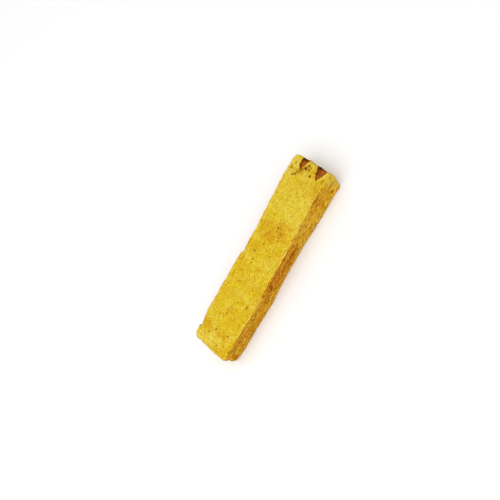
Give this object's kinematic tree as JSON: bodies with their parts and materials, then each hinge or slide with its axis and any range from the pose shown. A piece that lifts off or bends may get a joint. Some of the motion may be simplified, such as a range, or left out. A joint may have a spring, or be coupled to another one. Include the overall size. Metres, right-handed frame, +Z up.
{
  "type": "palo santo stick",
  "caption": "Short rectangular bar of yellow incense wood with sawn broad faces, split narrow faces, torn slivers along an arris and gouged notches at an end.",
  "frame": {"origin": "middle of the broad face that the stick rests on", "axes": "+X along the grain towards the gouged end, +Y across the broad faces towards the arris with the torn slivers, +Z up through the thickness"},
  "size_m": [0.1006, 0.0232, 0.0126],
  "materials": {
    "palo_santo_wood": "raw sawn and split heartwood, yellow with ochre split faces, dry and matt"
  },
  "bodies": {
    "root": {"palo_santo_stick": "palo_santo_wood"}
  },
  "joints": []
}
